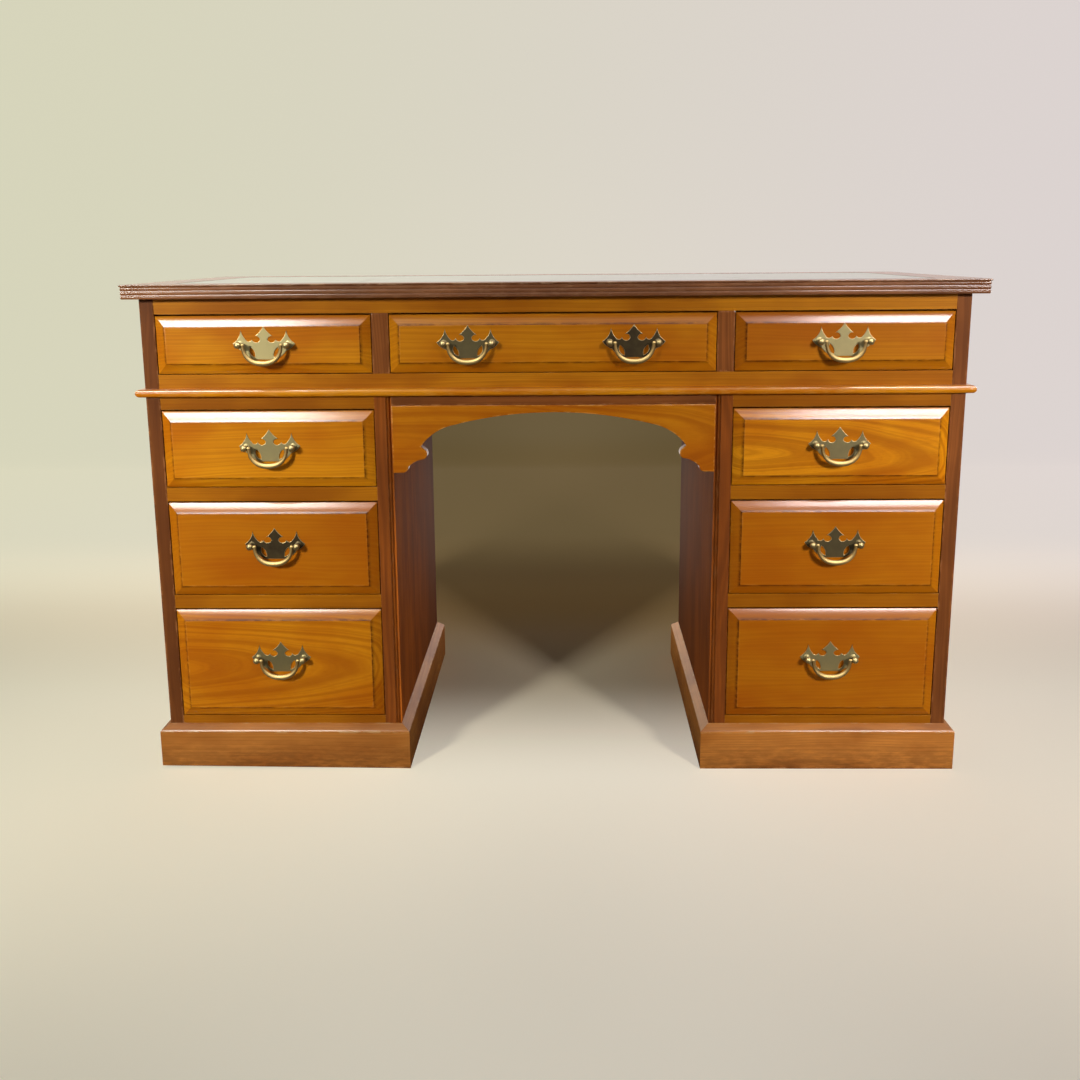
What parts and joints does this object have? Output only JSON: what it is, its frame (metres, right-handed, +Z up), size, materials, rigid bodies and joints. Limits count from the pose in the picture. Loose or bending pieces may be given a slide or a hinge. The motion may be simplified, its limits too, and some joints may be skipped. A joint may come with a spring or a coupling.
{
  "type": "kneehole desk",
  "caption": "Wooden kneehole desk: leather-inset top over a row of frieze drawers, two drawer pedestals on plinths, a shaped apron and swinging brass bail handles.",
  "frame": {"origin": "on the floor under the middle of the desk's overall box", "axes": "+X to the sitter's right along the top, -Y the front where the sitter is, +Z up"},
  "size_m": [1.3, 0.626, 0.776],
  "materials": {
    "dark_wood": "worn wax polish on dark reddish brown wood",
    "golden_wood": "glossy golden brown polish",
    "drawer_lining": "bare aged wood",
    "pine": "bare aged softwood",
    "leather": "worn dark green skiver",
    "plate_brass": "dark bronzed patina",
    "bail_brass": "worn cast brass"
  },
  "bodies": {
    "desk": {"top_frame": "dark_wood", "top_panel": "pine", "top_leather": "leather", "frieze_ends": "dark_wood", "frieze_back": "pine", "frieze_rails": "golden_wood", "frieze_dividers": "dark_wood", "frieze_runners": "pine", "bead_moulding": "golden_wood", "kneehole_top_board": "dark_wood", "apron": "golden_wood", "left_pedestal_outer_side": "dark_wood", "left_pedestal_inner_side": "dark_wood", "left_pedestal_back": "pine", "left_pedestal_rails": "golden_wood", "left_pedestal_runners": "pine", "left_pedestal_plinth": "dark_wood", "right_pedestal_outer_side": "dark_wood", "right_pedestal_inner_side": "dark_wood", "right_pedestal_back": "pine", "right_pedestal_rails": "golden_wood", "right_pedestal_runners": "pine", "right_pedestal_plinth": "dark_wood"},
    "left_drawer_1": {"left_drawer_1_front": "golden_wood", "left_drawer_1_box": "drawer_lining", "left_drawer_1_plate": "plate_brass"},
    "centre_drawer": {"centre_drawer_front": "golden_wood", "centre_drawer_box": "drawer_lining", "centre_drawer_plate": "plate_brass"},
    "right_drawer_1": {"right_drawer_1_front": "golden_wood", "right_drawer_1_box": "drawer_lining", "right_drawer_1_plate": "plate_brass"},
    "left_drawer_2": {"left_drawer_2_front": "golden_wood", "left_drawer_2_box": "drawer_lining", "left_drawer_2_plate": "plate_brass"},
    "right_drawer_2": {"right_drawer_2_front": "golden_wood", "right_drawer_2_box": "drawer_lining", "right_drawer_2_plate": "plate_brass"},
    "left_drawer_3": {"left_drawer_3_front": "golden_wood", "left_drawer_3_box": "drawer_lining", "left_drawer_3_plate": "plate_brass"},
    "right_drawer_3": {"right_drawer_3_front": "golden_wood", "right_drawer_3_box": "drawer_lining", "right_drawer_3_plate": "plate_brass"},
    "left_drawer_4": {"left_drawer_4_front": "golden_wood", "left_drawer_4_box": "drawer_lining", "left_drawer_4_plate": "plate_brass"},
    "right_drawer_4": {"right_drawer_4_front": "golden_wood", "right_drawer_4_box": "drawer_lining", "right_drawer_4_plate": "plate_brass"},
    "left_drawer_1_bail": {"left_drawer_1_bail": "bail_brass"},
    "centre_drawer_left_bail": {"centre_drawer_left_bail": "bail_brass"},
    "centre_drawer_right_bail": {"centre_drawer_right_bail": "bail_brass"},
    "right_drawer_1_bail": {"right_drawer_1_bail": "bail_brass"},
    "left_drawer_2_bail": {"left_drawer_2_bail": "bail_brass"},
    "right_drawer_2_bail": {"right_drawer_2_bail": "bail_brass"},
    "left_drawer_3_bail": {"left_drawer_3_bail": "bail_brass"},
    "right_drawer_3_bail": {"right_drawer_3_bail": "bail_brass"},
    "left_drawer_4_bail": {"left_drawer_4_bail": "bail_brass"},
    "right_drawer_4_bail": {"right_drawer_4_bail": "bail_brass"}
  },
  "joints": [
    {"name": "left_drawer_1_slide", "type": "slide", "parent": "desk", "child": "left_drawer_1", "axis": [0, -1, 0], "range_m": [0, 0.38]},
    {"name": "centre_drawer_slide", "type": "slide", "parent": "desk", "child": "centre_drawer", "axis": [0, -1, 0], "range_m": [0, 0.38]},
    {"name": "right_drawer_1_slide", "type": "slide", "parent": "desk", "child": "right_drawer_1", "axis": [0, -1, 0], "range_m": [0, 0.38]},
    {"name": "left_drawer_2_slide", "type": "slide", "parent": "desk", "child": "left_drawer_2", "axis": [0, -1, 0], "range_m": [0, 0.38]},
    {"name": "right_drawer_2_slide", "type": "slide", "parent": "desk", "child": "right_drawer_2", "axis": [0, -1, 0], "range_m": [0, 0.38]},
    {"name": "left_drawer_3_slide", "type": "slide", "parent": "desk", "child": "left_drawer_3", "axis": [0, -1, 0], "range_m": [0, 0.38]},
    {"name": "right_drawer_3_slide", "type": "slide", "parent": "desk", "child": "right_drawer_3", "axis": [0, -1, 0], "range_m": [0, 0.38]},
    {"name": "left_drawer_4_slide", "type": "slide", "parent": "desk", "child": "left_drawer_4", "axis": [0, -1, 0], "range_m": [0, 0.38]},
    {"name": "right_drawer_4_slide", "type": "slide", "parent": "desk", "child": "right_drawer_4", "axis": [0, -1, 0], "range_m": [0, 0.38]},
    {"name": "left_drawer_1_bail_swing", "type": "hinge", "parent": "left_drawer_1", "child": "left_drawer_1_bail", "pos_m": [-0.43725, -0.30773, 0.6858], "axis": [-1, 0, 0], "range_deg": [-22, 152]},
    {"name": "centre_drawer_left_bail_swing", "type": "hinge", "parent": "centre_drawer", "child": "centre_drawer_left_bail", "pos_m": [-0.128, -0.30773, 0.6858], "axis": [-1, 0, 0], "range_deg": [-22, 152]},
    {"name": "centre_drawer_right_bail_swing", "type": "hinge", "parent": "centre_drawer", "child": "centre_drawer_right_bail", "pos_m": [0.1226, -0.30773, 0.6858], "axis": [-1, 0, 0], "range_deg": [-22, 152]},
    {"name": "right_drawer_1_bail_swing", "type": "hinge", "parent": "right_drawer_1", "child": "right_drawer_1_bail", "pos_m": [0.43725, -0.30773, 0.6858], "axis": [-1, 0, 0], "range_deg": [-22, 152]},
    {"name": "left_drawer_2_bail_swing", "type": "hinge", "parent": "left_drawer_2", "child": "left_drawer_2_bail", "pos_m": [-0.43725, -0.30773, 0.5293], "axis": [-1, 0, 0], "range_deg": [-22, 152]},
    {"name": "right_drawer_2_bail_swing", "type": "hinge", "parent": "right_drawer_2", "child": "right_drawer_2_bail", "pos_m": [0.43725, -0.30773, 0.5293], "axis": [-1, 0, 0], "range_deg": [-22, 152]},
    {"name": "left_drawer_3_bail_swing", "type": "hinge", "parent": "left_drawer_3", "child": "left_drawer_3_bail", "pos_m": [-0.43725, -0.30773, 0.3744], "axis": [-1, 0, 0], "range_deg": [-22, 152]},
    {"name": "right_drawer_3_bail_swing", "type": "hinge", "parent": "right_drawer_3", "child": "right_drawer_3_bail", "pos_m": [0.43725, -0.30773, 0.3744], "axis": [-1, 0, 0], "range_deg": [-22, 152]},
    {"name": "left_drawer_4_bail_swing", "type": "hinge", "parent": "left_drawer_4", "child": "left_drawer_4_bail", "pos_m": [-0.43725, -0.30773, 0.1883], "axis": [-1, 0, 0], "range_deg": [-22, 152]},
    {"name": "right_drawer_4_bail_swing", "type": "hinge", "parent": "right_drawer_4", "child": "right_drawer_4_bail", "pos_m": [0.43725, -0.30773, 0.1883], "axis": [-1, 0, 0], "range_deg": [-22, 152]}
  ]
}
